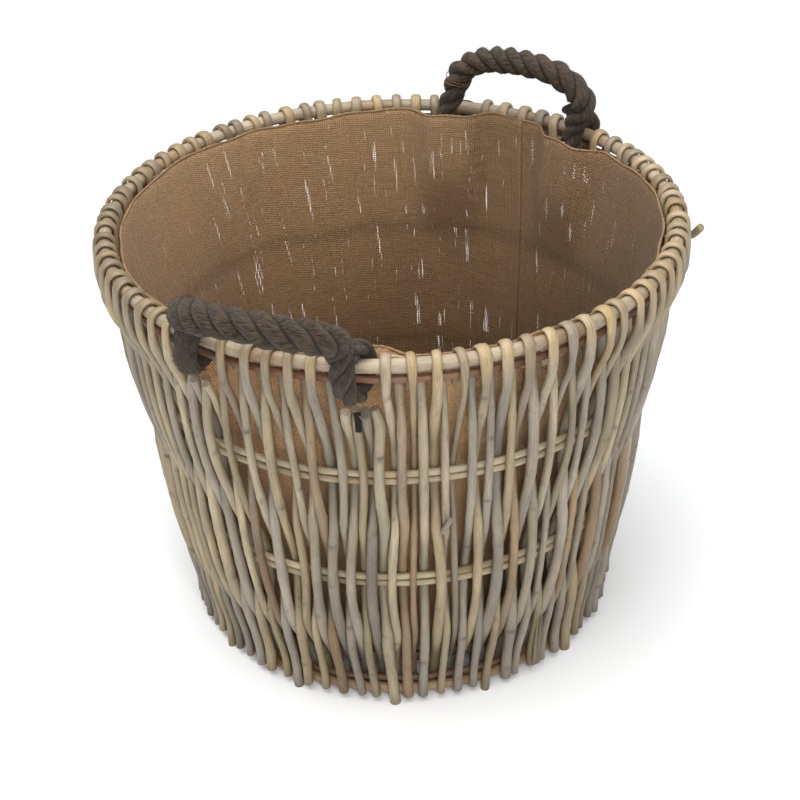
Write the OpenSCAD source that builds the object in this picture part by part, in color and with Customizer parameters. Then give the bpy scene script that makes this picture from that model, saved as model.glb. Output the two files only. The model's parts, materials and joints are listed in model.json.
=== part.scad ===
// Round willow log basket: bent stakes woven in and out of four levels of hoops,
// a lattice base, a loose cloth liner and two rope handles that turn about the rim.
// Millimetres, +Z up, origin on the floor under the middle of the basket.

/* [Basket] */
// Height from the floor to the top of the stakes bent over the rim
height = 395; // [380:1:410]
// Outside diameter over the stakes at the rim
rim_d = 520; // [505:1:540]
// Diameter of the ring that the stake feet stand on
foot_d = 395; // [389:1:399]

/* [Hoops] */
// Rod diameter of the rim hoop
rim_rod_d = 12; // [11:0.5:12]
// Rod diameter of the hoop just under the rim
under_rod_d = 6.5; // [5:0.5:6.5]
// Rod diameter of the paired hoops in the wall
wall_rod_d = 6; // [5:0.5:6]
// Rod diameter of the lower base hoop
base_rod_d = 9; // [7:0.5:9]
// Height of the upper pair of wall hoops
upper_pair_z = 267.5; // [262:0.5:273]
// Height of the lower pair of wall hoops
lower_pair_z = 148.5; // [140:0.5:156]

/* [Stakes] */
// Diameter of a stake in the wall
stake_d = 7.4; // [6.4:0.2:7.6]
// Diameter of a stake at its foot
stake_foot_d = 6.8; // [6:0.2:6.8]
// Width of a stake where it is flattened over the rim
band_w = 8; // [6:0.5:8]
// Largest sideways lean of the stakes, in degrees
stake_lean = 1.6; // [0:0.1:1.6]

/* [Liner] */
// Thickness of the cloth
cloth_t = 1.6; // [1:0.2:2]
// Distance of the liner's hem below the top of the basket
hem_drop = 12; // [10:1:16]

/* [Rope handles] */
// Rope diameter
rope_d = 26; // [24:1:28]
// Lean of the near handle away from upright, in degrees
near_lean = 57; // [0:1:100]

/* [Hidden] */

// Colours
pale_willow = "#b9a680";
grey_willow = "#a0968a";
red_willow = "#8a6a4c";
gold_willow = "#c2a878";
hessian = "#876a4b";
rope_colour = "#4a453d";
tape_colour = "#26241f";

// Gap kept between pieces that press on each other in the real weave
gap = 0.3;
round_fn = 48;

// Rim: a stake bent over the rim hoop is a flat band this thick
band_t = 3.2;
band_r = rim_rod_d / 2 + band_t / 2 + 1;
rim_r = rim_d / 2 - band_r - band_t / 2;
rim_z = height - band_r - band_t / 2;
under_z = rim_z - rim_rod_d / 2 - under_rod_d / 2 - 3;

// Base hoops: the feet stand just outside them
foot_r = foot_d / 2;
base_hoop_r = foot_r - stake_foot_d / 2 - base_rod_d / 2 - gap;
base_lower_z = base_rod_d;
base_upper_z = base_lower_z + 11;

// Wall hoops: the wall flares out from the base hoops to the rim, a little more near the top
pair_spacing = wall_rod_d + 1.2;
flare_curve = 0.1;
function wall_r(z) =
    let (rise = z / rim_z)
    base_hoop_r + (rim_r - base_hoop_r) * ((1 - flare_curve) * rise + flare_curve * rise * rise);
upper_r = wall_r(upper_pair_z);
lower_r = wall_r(lower_pair_z);
// Distance of a stake's middle line from the middle line of a wall hoop that it bends past
bend_room = 0.9;
pass = wall_rod_d / 2 + stake_d / 2 + gap + bend_room;

// Stakes: two sets that alternate round the wall
stakes_per_set = 84;
stakes_per_node = 7;
stake_step = 360 / stakes_per_set;
stake_sides = 6;
// One stake beside the rim was cut long and springs outwards instead of bending over
sprung_stake = 70;

// Handles: middle of each, counted in stakes from the far handle, and half the angle between eyes
far_az = -4;
near_az = far_az + 44 * stake_step;
eye_half_az = 16;
hinge_z = rim_z - 5.5;
hinge_r = rim_r * cos(eye_half_az);
eye_t = rim_r * sin(eye_half_az);
// Stakes nearer to an eye than this stop below it
eye_clear_az = 4.5;
eye_stop_z = hinge_z - 34;

// Base lattice
frame_rod_d = 8;
weaver_d = 5;
frame_z = 33;
frame_r = base_hoop_r - 13;
stick_pitch = 38;
stick_count = 9;
weaver_pitch = 11;
weaver_count = 31;

// Liner
liner_sides = 96;
liner_floor_z = frame_z + frame_rod_d / 2 + gap + weaver_d + gap;
liner_foot_z = liner_floor_z + cloth_t + 1;
liner_foot_r = base_hoop_r - 12.5;
liner_top_r = rim_r - 12.5;
liner_dent = 25;

// ---------- Shared functions ----------

function unit(v) = v / norm(v);
function smooth(x) = let (c = max(0, min(1, x))) c * c * (3 - 2 * c);
function turn_gap(a, b) = abs((a - b + 540) % 360 - 180);
function eye_gap(az) = min([for (h = [far_az, near_az]) for (s = [-1, 1]) turn_gap(az + 360, h + s * eye_half_az)]);

// Point at radius r, height z and angle az, moved t sideways
function around(r, t, z, az) = [r * cos(az) - t * sin(az), r * sin(az) + t * cos(az), z];

// Faces of a closed tube of `count` rings with `sides` corners each
function tube_faces(count, sides) = concat(
    [[for (k = [sides - 1:-1:0]) k]],
    [for (j = [0:count - 2]) for (k = [0:sides - 1]) let (n = (k + 1) % sides)
        [j * sides + k, j * sides + n, (j + 1) * sides + n, (j + 1) * sides + k]],
    [[for (k = [0:sides - 1]) (count - 1) * sides + k]]
);

// ---------- Stakes ----------

// Sideways lean, shared by neighbours so that they never meet
function lean_az(az, z) = stake_lean * sin(3 * az + 40) * sin(180 * z / (height + 60));

// Direction square to a stake's path at row i, in the r-z plane
function row_normal(rows, i) =
    let (a = rows[max(i - 1, 0)], b = rows[min(i + 1, len(rows) - 1)], d = unit([b[0] - a[0], b[1] - a[1]]))
    i == 0 ? [1, 0] : [d[1], -d[0]];

// One stake: rows of [radius, height, half width, half thickness]
module stake(rows, az) {
    points = [for (i = [0:len(rows) - 1])
        let (row = rows[i], n = row_normal(rows, i), a = az + lean_az(az, row[1]))
        for (k = [0:stake_sides - 1])
            let (phi = 360 * k / stake_sides, side = row[2] * cos(phi), out = row[3] * sin(phi))
                around(row[0] + out * n[0], side, row[1] + out * n[1], a)];
    polyhedron(points, tube_faces(len(rows), stake_sides), convexity = 6);
}

foot_h = stake_foot_d / 2;
body_h = stake_d / 2;
over_foot_r = base_hoop_r - base_rod_d / 2 - gap - foot_h;

// Wall stretch of a stake that ends up bent over the rim
over_wall = [
    [over_foot_r, 6, foot_h, foot_h],
    [over_foot_r + 1, base_upper_z + 4, foot_h, foot_h],
    [(over_foot_r + lower_r + pass) / 2 + 3, 80, foot_h, foot_h],
    [lower_r + pass, lower_pair_z, body_h, body_h],
    [(lower_r + upper_r) / 2, (lower_pair_z + upper_pair_z) / 2, body_h, body_h],
    [upper_r - pass, upper_pair_z, body_h, body_h],
    [rim_r - 8, height - 68, body_h, body_h]
];
over_bend = concat(
    [[rim_r + band_r - 1, rim_z - 20, body_h, 2.6]],
    [for (phi = [0:60:180])
        [rim_r + band_r * cos(phi), rim_z + band_r * sin(phi), band_w / 2, band_t / 2]],
    [[rim_r - band_r, rim_z - 24, band_w / 2, band_t / 2]]
);
over_stopped = [[rim_r - 3, eye_stop_z, body_h, body_h]];
over_sprung = [
    [rim_r + band_r, rim_z - 26, body_h, body_h],
    [rim_r + band_r + 9, rim_z - 4, body_h, body_h]
];

// Wall stretch of a stake that ends inside the rim, standing on a foot at height foot_z
function under_wall(foot_z) = [
    [foot_r, foot_z, foot_h, foot_h],
    [foot_r + 1, 70, foot_h, foot_h],
    [lower_r - pass, lower_pair_z, body_h, body_h],
    [(lower_r + upper_r) / 2, (lower_pair_z + upper_pair_z) / 2, body_h, body_h],
    [upper_r + pass, upper_pair_z, body_h, body_h],
    [(upper_r + pass + rim_r - 7) / 2 + 1, height - 72, body_h, body_h]
];
under_top = [[rim_r - under_rod_d / 2 - body_h - gap, rim_z - 7, body_h, body_h]];
under_stopped = [[rim_r - under_rod_d / 2 - body_h - gap, eye_stop_z, body_h, body_h]];

// Feet are cut at slightly different heights
FOOT_Z = [0, 3, 5, 2, 4, 1];

module over_rim_stakes(group) {
    color(group % 2 == 0 ? pale_willow : grey_willow)
        for (i = [group * stakes_per_node:(group + 1) * stakes_per_node - 1]) {
            az = far_az + i * stake_step;
            if (eye_gap(az) < eye_clear_az)
                stake(concat(over_wall, over_stopped), az);
            else if (i == sprung_stake)
                stake(concat(over_wall, over_sprung), az);
            else
                stake(concat(over_wall, over_bend), az);
        }
}

module under_rim_stakes(group) {
    color(group % 2 == 0 ? gold_willow : grey_willow)
        for (i = [group * stakes_per_node:(group + 1) * stakes_per_node - 1]) {
            az = far_az + (i + 0.5) * stake_step;
            top = eye_gap(az) < eye_clear_az ? under_stopped : under_top;
            stake(concat(under_wall(FOOT_Z[i % len(FOOT_Z)]), top), az);
        }
}

// ---------- Hoops ----------

module hoop(r, z, d, tint) {
    color(tint)
        translate([0, 0, z])
            rotate_extrude($fn = 2 * round_fn)
                translate([r, 0])
                    circle(d = d, $fn = round_fn);
}

module rim_hoop() { hoop(rim_r, rim_z, rim_rod_d, pale_willow); }
module rim_under_hoop() { hoop(rim_r, under_z, under_rod_d, red_willow); }
module upper_hoop_top() { hoop(upper_r, upper_pair_z + pair_spacing / 2, wall_rod_d, pale_willow); }
module upper_hoop_bottom() { hoop(upper_r, upper_pair_z - pair_spacing / 2, wall_rod_d, grey_willow); }
module lower_hoop_top() { hoop(lower_r, lower_pair_z + pair_spacing / 2, wall_rod_d, pale_willow); }
module lower_hoop_bottom() { hoop(lower_r, lower_pair_z - pair_spacing / 2, wall_rod_d, grey_willow); }
module base_hoop_upper() { hoop(base_hoop_r, base_upper_z, wall_rod_d, red_willow); }
module base_hoop_lower() { hoop(base_hoop_r, base_lower_z, base_rod_d, red_willow); }
module base_frame_hoop() { hoop(frame_r, frame_z, frame_rod_d, red_willow); }

// ---------- Base lattice ----------

// A straight rod of length 2 * half along X through the origin
module rod(half, d) {
    translate([-half, 0, 0])
        rotate([0, 90, 0])
            cylinder(h = 2 * half, d = d, $fn = round_fn);
}

function half_chord(r, offset) = sqrt(r * r - offset * offset);

module base_sticks() {
    inner_r = frame_r - frame_rod_d / 2 - gap;
    color(red_willow)
        for (i = [0:stick_count - 1]) {
            y = (i - (stick_count - 1) / 2) * stick_pitch;
            translate([0, y, frame_z])
                rod(half_chord(inner_r, abs(y) + frame_rod_d / 2), frame_rod_d);
        }
}

// Every second weaver lies above the sticks and the others below them
module base_weavers(first, side) {
    color(grey_willow)
        for (i = [first:2:weaver_count - 1]) {
            x = (i - (weaver_count - 1) / 2) * weaver_pitch;
            translate([x, 0, frame_z + side * (frame_rod_d / 2 + weaver_d / 2 + gap)])
                rotate([0, 0, 90])
                    rod(half_chord(frame_r, abs(x) + weaver_d / 2), weaver_d);
        }
}

module base_weavers_top() { base_weavers(0, 1); }
module base_weavers_bottom() { base_weavers(1, -1); }

// ---------- Liner ----------

// Outer radius of the liner: a cone with soft waves, pushed in round the rope eyes
function liner_r(az, z) =
    let (rise = (z - liner_foot_z) / (height - hem_drop - liner_foot_z))
    liner_foot_r + (liner_top_r - liner_foot_r) * rise
        - 1.2 * rise * (1 + sin(9 * az + 30))
        - liner_dent * smooth((14 - eye_gap(az)) / 7.5) * smooth((z - height + 150) / 100);

function hem_z(az) = height - hem_drop + 1.5 * sin(5 * az) + 4 * smooth((14 - eye_gap(az)) / 7.5);

module liner_wall() {
    levels = [0, 0.55, 0.85, 1];
    ring = [for (k = [0:liner_sides - 1]) -360 * k / liner_sides];
    points = [for (face = [0, 1]) for (level = levels) for (az = ring)
        let (z = liner_foot_z + level * (hem_z(az) - liner_foot_z))
            around(liner_r(az, z) - face * cloth_t, 0, z, az)];
    count = len(levels);
    skin = count * liner_sides;
    faces = concat(
        [for (j = [0:count - 2]) for (k = [0:liner_sides - 1]) let (n = (k + 1) % liner_sides)
            [j * liner_sides + k, j * liner_sides + n, (j + 1) * liner_sides + n, (j + 1) * liner_sides + k]],
        [for (j = [0:count - 2]) for (k = [0:liner_sides - 1]) let (n = (k + 1) % liner_sides)
            [skin + (j + 1) * liner_sides + k, skin + (j + 1) * liner_sides + n,
             skin + j * liner_sides + n, skin + j * liner_sides + k]],
        [for (k = [0:liner_sides - 1]) let (n = (k + 1) % liner_sides)
            [skin + k, skin + n, n, k]],
        [for (k = [0:liner_sides - 1]) let (n = (k + 1) % liner_sides, top = (count - 1) * liner_sides)
            [top + k, top + n, skin + top + n, skin + top + k]]
    );
    color(hessian)
        polyhedron(points, faces, convexity = 6);
}

module liner_base() {
    color(hessian)
        translate([0, 0, liner_floor_z])
            cylinder(h = cloth_t, r = liner_foot_r - cloth_t - gap, $fn = 2 * round_fn);
}

// ---------- Rope handles ----------

// Middle line of half a handle, upright: [outward, along the rim, up] from the hinge line's middle.
// It starts at the rope's end, goes once round the rim as an eye and rises to the middle of the grip.
HALF_ROUTE = [
    [4, 69, 23], [16, 69, 16], [23, 69, 4], [21, 69, -10], [12, 69, -20], [-2, 69, -23],
    [-15, 69, -18], [-22, 69, -8], [-23, 69, 3], [-20, 69, 16], [-17, 68, 28], [-16, 65, 40],
    [-16, 59, 52], [-16, 48, 62], [-16, 34, 69], [-16, 17, 72], [-16, 0, 73]
];
half_count = len(HALF_ROUTE);
ROUTE = concat(HALF_ROUTE, [for (i = [half_count - 2:-1:0])
    [HALF_ROUTE[i][0], -HALF_ROUTE[i][1], HALF_ROUTE[i][2]]]);

rope_sides = 8;
// The rope is squeezed flat in the eye and swells to its full size in the grip
eye_width = 22;
eye_thick = 15;
function squeeze(i) = smooth((min(i, len(ROUTE) - 1 - i) - 8) / 3);
function tangent(i) = unit(ROUTE[min(i + 1, len(ROUTE) - 1)] - ROUTE[max(i - 1, 0)]);
function carried(u, i) = let (t = tangent(i)) unit(u - (u * t) * t);

module rope() {
    across = [for (i = 0, u = [0, 1, 0]; i < len(ROUTE); i = i + 1, u = carried(u, min(i, len(ROUTE) - 1))) u];
    points = [for (i = [0:len(ROUTE) - 1])
        let (u = across[i], v = cross(tangent(i), u), full = squeeze(i),
             wide = (eye_width + (rope_d - eye_width) * full) / 2,
             thick = (eye_thick + (rope_d - eye_thick) * full) / 2)
        for (k = [0:rope_sides - 1])
            let (phi = 360 * (k + 0.5) / rope_sides)
                ROUTE[i] + wide * cos(phi) * u - thick * sin(phi) * v];
    color(rope_colour)
        polyhedron(points, tube_faces(len(ROUTE), rope_sides), convexity = 8);
}

// Puts a handle's pieces at the rim at angle az, leaning outwards
module at_rim(az, lean) {
    rotate([0, 0, az])
        translate([hinge_r, 0, hinge_z])
            rotate([0, lean, 0])
                children();
}

module far_rope() { at_rim(far_az, 0) rope(); }
module near_rope() { at_rim(near_az, near_lean) rope(); }

// Turn of twine round the far handle's shoulder
module far_twine() {
    twine_d = 1.6;
    color(red_willow)
        at_rim(far_az, 0)
            translate([-16, 62, 46])
                rotate([27, 0, 0])
                    rotate_extrude($fn = round_fn)
                        translate([rope_d / 2 + twine_d / 2 + gap, 0])
                            circle(d = twine_d, $fn = 16);
}

// Loose end of the tape that binds the near handle's eye, hanging outside the wall
module near_binding_tail() {
    tail_w = 6;
    tail_t = 1;
    tail_h = 20;
    color(tape_colour)
        rotate([0, 0, near_az + eye_half_az])
            translate([rim_r - 3 + body_h + gap, -tail_w / 2, eye_stop_z - tail_h])
                cube([tail_t, tail_w, tail_h]);
}

// ---------- Nodes ----------

rim_hoop();
rim_under_hoop();
upper_hoop_top();
upper_hoop_bottom();
lower_hoop_top();
lower_hoop_bottom();
base_hoop_upper();
base_hoop_lower();
base_frame_hoop();
base_sticks();
base_weavers_top();
base_weavers_bottom();
over_rim_stakes(0);  // over_rim_stakes_01
over_rim_stakes(1);  // over_rim_stakes_02
over_rim_stakes(2);  // over_rim_stakes_03
over_rim_stakes(3);  // over_rim_stakes_04
over_rim_stakes(4);  // over_rim_stakes_05
over_rim_stakes(5);  // over_rim_stakes_06
over_rim_stakes(6);  // over_rim_stakes_07
over_rim_stakes(7);  // over_rim_stakes_08
over_rim_stakes(8);  // over_rim_stakes_09
over_rim_stakes(9);  // over_rim_stakes_10
over_rim_stakes(10);  // over_rim_stakes_11
over_rim_stakes(11);  // over_rim_stakes_12
under_rim_stakes(0);  // under_rim_stakes_01
under_rim_stakes(1);  // under_rim_stakes_02
under_rim_stakes(2);  // under_rim_stakes_03
under_rim_stakes(3);  // under_rim_stakes_04
under_rim_stakes(4);  // under_rim_stakes_05
under_rim_stakes(5);  // under_rim_stakes_06
under_rim_stakes(6);  // under_rim_stakes_07
under_rim_stakes(7);  // under_rim_stakes_08
under_rim_stakes(8);  // under_rim_stakes_09
under_rim_stakes(9);  // under_rim_stakes_10
under_rim_stakes(10);  // under_rim_stakes_11
under_rim_stakes(11);  // under_rim_stakes_12
liner_wall();
liner_base();
far_rope();
far_twine();
near_rope();
near_binding_tail();
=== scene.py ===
import json
import math

import bpy
import numpy as np
from mathutils import Matrix, Vector


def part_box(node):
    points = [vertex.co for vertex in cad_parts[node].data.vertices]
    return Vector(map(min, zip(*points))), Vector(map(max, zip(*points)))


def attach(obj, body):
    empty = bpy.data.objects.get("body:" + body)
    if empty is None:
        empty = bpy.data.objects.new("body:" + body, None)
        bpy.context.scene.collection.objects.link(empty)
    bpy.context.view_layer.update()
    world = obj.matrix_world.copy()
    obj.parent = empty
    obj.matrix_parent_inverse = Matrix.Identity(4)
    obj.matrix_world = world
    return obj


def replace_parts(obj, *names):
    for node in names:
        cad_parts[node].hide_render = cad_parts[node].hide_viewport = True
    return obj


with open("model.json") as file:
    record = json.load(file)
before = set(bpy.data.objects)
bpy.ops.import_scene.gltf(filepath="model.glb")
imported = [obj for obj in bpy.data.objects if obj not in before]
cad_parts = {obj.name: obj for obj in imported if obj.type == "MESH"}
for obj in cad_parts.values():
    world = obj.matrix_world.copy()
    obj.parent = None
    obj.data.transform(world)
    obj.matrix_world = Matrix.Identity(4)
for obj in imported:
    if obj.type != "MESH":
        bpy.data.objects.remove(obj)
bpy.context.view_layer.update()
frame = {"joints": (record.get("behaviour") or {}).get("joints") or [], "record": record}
record = frame["record"]

# ---------------------------------------------------------------- sizes from the frame


def hoop_of(node):
    """Ring radius, height and half thickness of a CAD hoop."""
    low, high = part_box(node)
    rod = (high.z - low.z) / 2
    return high.x - rod, (high.z + low.z) / 2, rod


RIM_R, RIM_Z, RIM_ROD = hoop_of("rim_hoop")
_, UNDER_Z, UNDER_ROD = hoop_of("rim_under_hoop")
UPPER_R, UPPER_TOP_Z, WALL_ROD = hoop_of("upper_hoop_top")
UPPER_Z = (UPPER_TOP_Z + hoop_of("upper_hoop_bottom")[1]) / 2
LOWER_R, LOWER_TOP_Z, _ = hoop_of("lower_hoop_top")
LOWER_Z = (LOWER_TOP_Z + hoop_of("lower_hoop_bottom")[1]) / 2
BASE_R, _, BASE_ROD = hoop_of("base_hoop_lower")
BASE_UPPER_Z = hoop_of("base_hoop_upper")[1]
FRAME_R, FRAME_Z, FRAME_ROD = hoop_of("base_frame_hoop")
CROWN_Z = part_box("over_rim_stakes_01")[1].z

STAKES_PER_SET = 84
STAKES_PER_NODE = 7
STAKE_STEP = 2 * math.pi / STAKES_PER_SET
foot = record["mounts"][0]["pos_m"]
FIRST_AZ = math.atan2(foot[1], foot[0]) - STAKE_STEP / 2

joints = {j["name"]: j for j in frame["joints"]}


def hinge_of(joint):
    """Azimuth, distance from the middle and height of a handle's hinge line."""
    axis, pos = joint["axis"], joint["pos_m"]
    return math.atan2(-axis[0], axis[1]), math.hypot(pos[0], pos[1]), pos[2]


FAR_AZ, HINGE_R, HINGE_Z = hinge_of(joints["far_handle_swing"])
NEAR_AZ = hinge_of(joints["near_handle_swing"])[0]
EYE_HALF_AZ = math.acos(HINGE_R / RIM_R)
FAR_EYES = [FAR_AZ + EYE_HALF_AZ, FAR_AZ - EYE_HALF_AZ]
NEAR_EYES = [NEAR_AZ + EYE_HALF_AZ, NEAR_AZ - EYE_HALF_AZ]


def signed_gap(a, b):
    """Angle from b to a, between half a turn back and half a turn on."""
    return (a - b + math.pi) % (2 * math.pi) - math.pi


def eye_gap(az):
    """Signed angle from the nearest rope eye to az."""
    gaps = np.stack([signed_gap(np.asarray(az, float), eye) for eye in FAR_EYES + NEAR_EYES])
    nearest = np.abs(gaps).argmin(axis=0)
    return np.take_along_axis(gaps, nearest[None], axis=0)[0]


def radial(az):
    return np.array([math.cos(az), math.sin(az), 0.0])


def tangential(az):
    return np.array([-math.sin(az), math.cos(az), 0.0])


UP = np.array([0.0, 0.0, 1.0])

# ---------------------------------------------------------------- camera

VIEW_AZ = math.radians(62.3)
VIEW_EL = math.radians(32.5)
VIEW_ROLL = math.radians(-1.86)
VIEW_DISTANCE = 1.660
VIEW_AIM = np.array([0.0012, -0.0023, CROWN_Z / 2 - 0.002])
SENSOR = 36.0
LENS = 79.8


def make_camera():
    forward = np.array([math.sin(VIEW_AZ) * math.cos(VIEW_EL), math.cos(VIEW_AZ) * math.cos(VIEW_EL),
                        -math.sin(VIEW_EL)])
    level = np.array([math.cos(VIEW_AZ), -math.sin(VIEW_AZ), 0.0])
    upright = np.cross(level, forward)
    right = level * math.cos(VIEW_ROLL) + upright * math.sin(VIEW_ROLL)
    up = upright * math.cos(VIEW_ROLL) - level * math.sin(VIEW_ROLL)
    data = bpy.data.cameras.new("camera")
    data.sensor_width = SENSOR
    data.lens = LENS
    camera = bpy.data.objects.new("camera", data)
    turn = Matrix([right, up, -forward]).transposed()
    camera.matrix_world = Matrix.Translation(Vector(VIEW_AIM - VIEW_DISTANCE * forward)) @ turn.to_4x4()
    bpy.context.scene.collection.objects.link(camera)
    bpy.context.scene.camera = camera


make_camera()

# ---------------------------------------------------------------- mesh helpers


def unit(v):
    return v / np.linalg.norm(v)


def smooth_step(x):
    c = np.clip(x, 0.0, 1.0)
    return c * c * (3 - 2 * c)


def curve(rows, per_row):
    """Smooth curve through rows of numbers, with per_row points from each row to the next."""
    p = np.asarray(rows, float)
    ends = np.vstack([2 * p[0] - p[1], p, 2 * p[-1] - p[-2]])
    steps = np.linspace(0, len(p) - 1, per_row * (len(p) - 1) + 1)
    i = np.minimum(steps.astype(int), len(p) - 2)
    t = (steps - i)[:, None]
    a, b, c, d = ends[i], ends[i + 1], ends[i + 2], ends[i + 3]
    square, cube = 2 * a - 5 * b + 4 * c - d, 3 * b - a - 3 * c + d
    return 0.5 * (2 * b + (c - a) * t + square * t ** 2 + cube * t ** 3)


def spaced(rows, count):
    """The same rows, resampled to `count` even steps along their first three numbers."""
    along = lengths(rows[:, :3])
    wanted = np.linspace(0, along[-1], count)
    return np.stack([np.interp(wanted, along, rows[:, k]) for k in range(rows.shape[1])], axis=1)


def lengths(points):
    """Distance along a line up to each of its points."""
    return np.concatenate([[0], np.cumsum(np.linalg.norm(np.diff(points, axis=0), axis=1))])


def tangents(points, closed=False):
    """Unit direction of a line at each of its points."""
    if closed:
        step = np.roll(points, -1, axis=0) - np.roll(points, 1, axis=0)
    else:
        step = np.gradient(points, axis=0)
    return step / np.linalg.norm(step, axis=1)[:, None]


def facing(along, hint):
    """Side and top of a section whose side points as near to the hint as it can."""
    side = hint - np.sum(hint * along, axis=1)[:, None] * along
    side = side / np.linalg.norm(side, axis=1)[:, None]
    return side, np.cross(along, side)


def carried(along, start):
    """Side and top of a section carried along a line without twist."""
    sides = []
    side = start
    for t in along:
        side = unit(side - np.dot(side, t) * t)
        sides.append(side)
    sides = np.array(sides)
    return sides, np.cross(along, sides)


def circle(sides):
    """Evenly spread angles of a section with that many sides."""
    return np.linspace(0, 2 * math.pi, sides, endpoint=False)


def sweep(centre, side, top, x, y):
    """Section points (x, y) set along a line, as (count, sides, 3)."""
    return centre[:, None] + x[..., None] * side[:, None] + y[..., None] * top[:, None]


def grain_of(x, y, along):
    """Straightened coordinates of a swept section."""
    return np.stack([x, y, np.broadcast_to(along[:, None], x.shape)], axis=-1)


class Pile:
    """Gathers grids and tubes into one mesh, with a straightened grain and a tint at each point."""

    def __init__(self):
        self.verts, self.faces, self.grain, self.tint = [], [], [], []
        self.count = 0

    def add(self, verts, faces, grain, tint):
        verts = np.reshape(verts, (-1, 3))
        self.verts.append(verts)
        self.faces.append(np.reshape(faces, (-1, 4)) + self.count)
        self.grain.append(np.reshape(grain, (-1, 3)))
        self.tint.append(np.reshape(tint, (-1, 4)))
        self.count += len(verts)

    def grid(self, points, grain, tint, wrap_rows=False, wrap_columns=False):
        """A net of four-sided faces through rows and columns of points, closed round on request."""
        rows, columns = points.shape[:2]
        j, k = np.meshgrid(np.arange(rows - (not wrap_rows)), np.arange(columns - (not wrap_columns)),
                           indexing="ij")
        up, across = (j + 1) % rows, (k + 1) % columns
        here, above = j * columns, up * columns
        faces = np.stack([here + k, here + across, above + across, above + k], axis=-1)
        self.add(points, faces, grain, np.broadcast_to(tint, (rows, columns, 4)))

    def tube(self, rings, grain, tint, closed=False):
        """A tube through rings of points, with cut ends unless it closes on itself."""
        tint = np.broadcast_to(tint, (*rings.shape[:2], 4))
        self.grid(rings, grain, tint, wrap_rows=closed, wrap_columns=True)
        if not closed:
            self.cap(rings[0][::-1], grain[0][::-1], tint[0])
            self.cap(rings[-1], grain[-1], tint[-1])

    def cap(self, ring, grain, tint):
        """A flat cut end: a smaller ring and a middle point."""
        sides = len(ring)
        k = np.arange(sides)
        n = (k + 1) % sides
        outer = np.stack([k, n, n + sides, k + sides], axis=1)
        half = np.arange(0, sides, 2)
        core = np.stack([half + sides, (half + 1) % sides + sides, (half + 2) % sides + sides,
                         np.full(len(half), 2 * sides)], axis=1)
        verts, grains = [np.vstack([v, (v + v.mean(axis=0)) / 2, v.mean(axis=0)[None]])
                         for v in (ring, grain)]
        tints = np.broadcast_to(tint.mean(axis=0), (len(verts), 4))
        self.add(verts, np.vstack([outer, core]), grains, tints)

    def build(self, name, material, body):
        """Makes the piece, riding on its body and in its colour slot."""
        mesh = bpy.data.meshes.new(name)
        mesh.from_pydata(np.concatenate(self.verts).tolist(), [], np.concatenate(self.faces).tolist())
        grain = mesh.attributes.new("grain", "FLOAT_VECTOR", "POINT")
        grain.data.foreach_set("vector", np.concatenate(self.grain).astype(np.float32).ravel())
        tint = mesh.attributes.new("tint", "FLOAT_COLOR", "POINT")
        tint.data.foreach_set("color", np.concatenate(self.tint).astype(np.float32).ravel())
        mesh.polygons.foreach_set("use_smooth", [True] * len(mesh.polygons))
        mesh.materials.append(material)
        piece = bpy.data.objects.new(name, mesh)
        bpy.context.scene.collection.objects.link(piece)
        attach(piece, body)
        return piece


def linear(rgb):
    """A colour given as 0 to 255 sRGB, as linear numbers."""
    c = np.asarray(rgb, float) / 255
    return np.where(c <= 0.04045, c / 12.92, ((c + 0.055) / 1.055) ** 2.4)


def colour(rgb, alpha=1.0):
    return np.array([*linear(rgb), alpha])


# ---------------------------------------------------------------- materials


class Shader:
    """Short names for building one node material."""

    def __init__(self, name):
        self.material = bpy.data.materials.new(name)
        self.material.use_nodes = True
        self.nodes = self.material.node_tree.nodes
        self.links = self.material.node_tree.links
        self.main = self.nodes["Principled BSDF"]

    def link(self, value, socket):
        if isinstance(value, bpy.types.NodeSocket):
            self.links.new(value, socket)
        else:
            socket.default_value = value

    def attribute(self, name, output):
        node = self.nodes.new("ShaderNodeAttribute")
        node.attribute_name = name
        return node.outputs[output]

    def stretched(self, vector, scale):
        node = self.nodes.new("ShaderNodeMapping")
        self.link(vector, node.inputs["Vector"])
        node.inputs["Scale"].default_value = scale
        return node.outputs["Vector"]

    def noise(self, vector, scale, detail=3.0, roughness=0.5, output="Fac"):
        node = self.nodes.new("ShaderNodeTexNoise")
        self.link(vector, node.inputs["Vector"])
        node.inputs["Scale"].default_value = scale
        node.inputs["Detail"].default_value = detail
        node.inputs["Roughness"].default_value = roughness
        return node.outputs[output]

    def math(self, operation, a, b=0.0):
        node = self.nodes.new("ShaderNodeMath")
        node.operation = operation
        self.link(a, node.inputs[0])
        self.link(b, node.inputs[1])
        return node.outputs[0]

    def remap(self, value, low, high, to_low=0.0, to_high=1.0):
        node = self.nodes.new("ShaderNodeMapRange")
        self.link(value, node.inputs["Value"])
        limits = {"From Min": low, "From Max": high, "To Min": to_low, "To Max": to_high}
        for socket, number in limits.items():
            node.inputs[socket].default_value = number
        return node.outputs["Result"]

    def mix(self, share, a, b, blend="MIX"):
        node = self.nodes.new("ShaderNodeMix")
        node.data_type = "RGBA"
        node.blend_type = blend
        self.link(share, node.inputs[0])
        self.link(a, node.inputs[6])
        self.link(b, node.inputs[7])
        return node.outputs[2]

    def bump(self, height, strength, distance):
        node = self.nodes.new("ShaderNodeBump")
        self.link(height, node.inputs["Height"])
        node.inputs["Strength"].default_value = strength
        node.inputs["Distance"].default_value = distance
        return node.outputs["Normal"]

    def split(self, vector):
        node = self.nodes.new("ShaderNodeSeparateXYZ")
        self.link(vector, node.inputs[0])
        return node.outputs

    def put(self, **inputs):
        """Sets inputs of the Principled shader; an underscore stands for a space."""
        for name, value in inputs.items():
            self.link(value, self.main.inputs[name.replace("_", " ")])


def grey(value):
    return (value, value, value, 1.0)


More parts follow.
